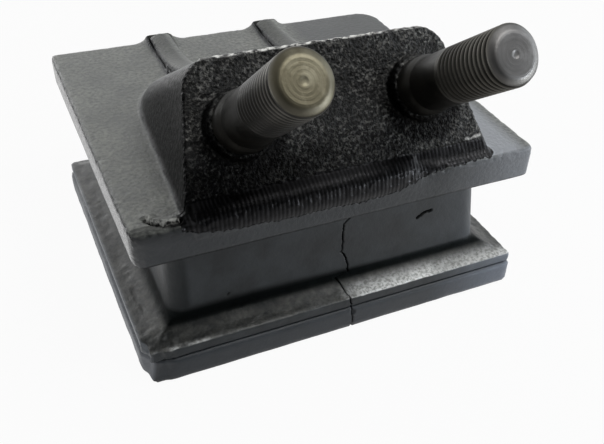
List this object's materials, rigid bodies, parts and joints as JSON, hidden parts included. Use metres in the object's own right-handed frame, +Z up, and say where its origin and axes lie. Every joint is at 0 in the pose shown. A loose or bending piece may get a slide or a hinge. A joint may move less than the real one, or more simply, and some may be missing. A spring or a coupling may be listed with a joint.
{
  "type": "engine mount",
  "caption": "Rubber block engine mount with a steel base plate and a cast top bracket whose sloping face carries two threaded studs.",
  "frame": {"origin": "middle of the base plate's underside", "axes": "+Z up through the rubber block, studs lean out towards -Y, +X to the right when the studs point at the viewer"},
  "size_m": [0.1324, 0.1464, 0.1127],
  "materials": {
    "base_steel": "satin",
    "rubber": "matte",
    "bracket_casting": "satin",
    "stud_steel": "machined"
  },
  "bodies": {
    "root": {"base_plate": "base_steel", "rubber_block": "rubber", "top_bracket": "bracket_casting", "left_stud": "stud_steel", "right_stud": "stud_steel"}
  },
  "joints": []
}
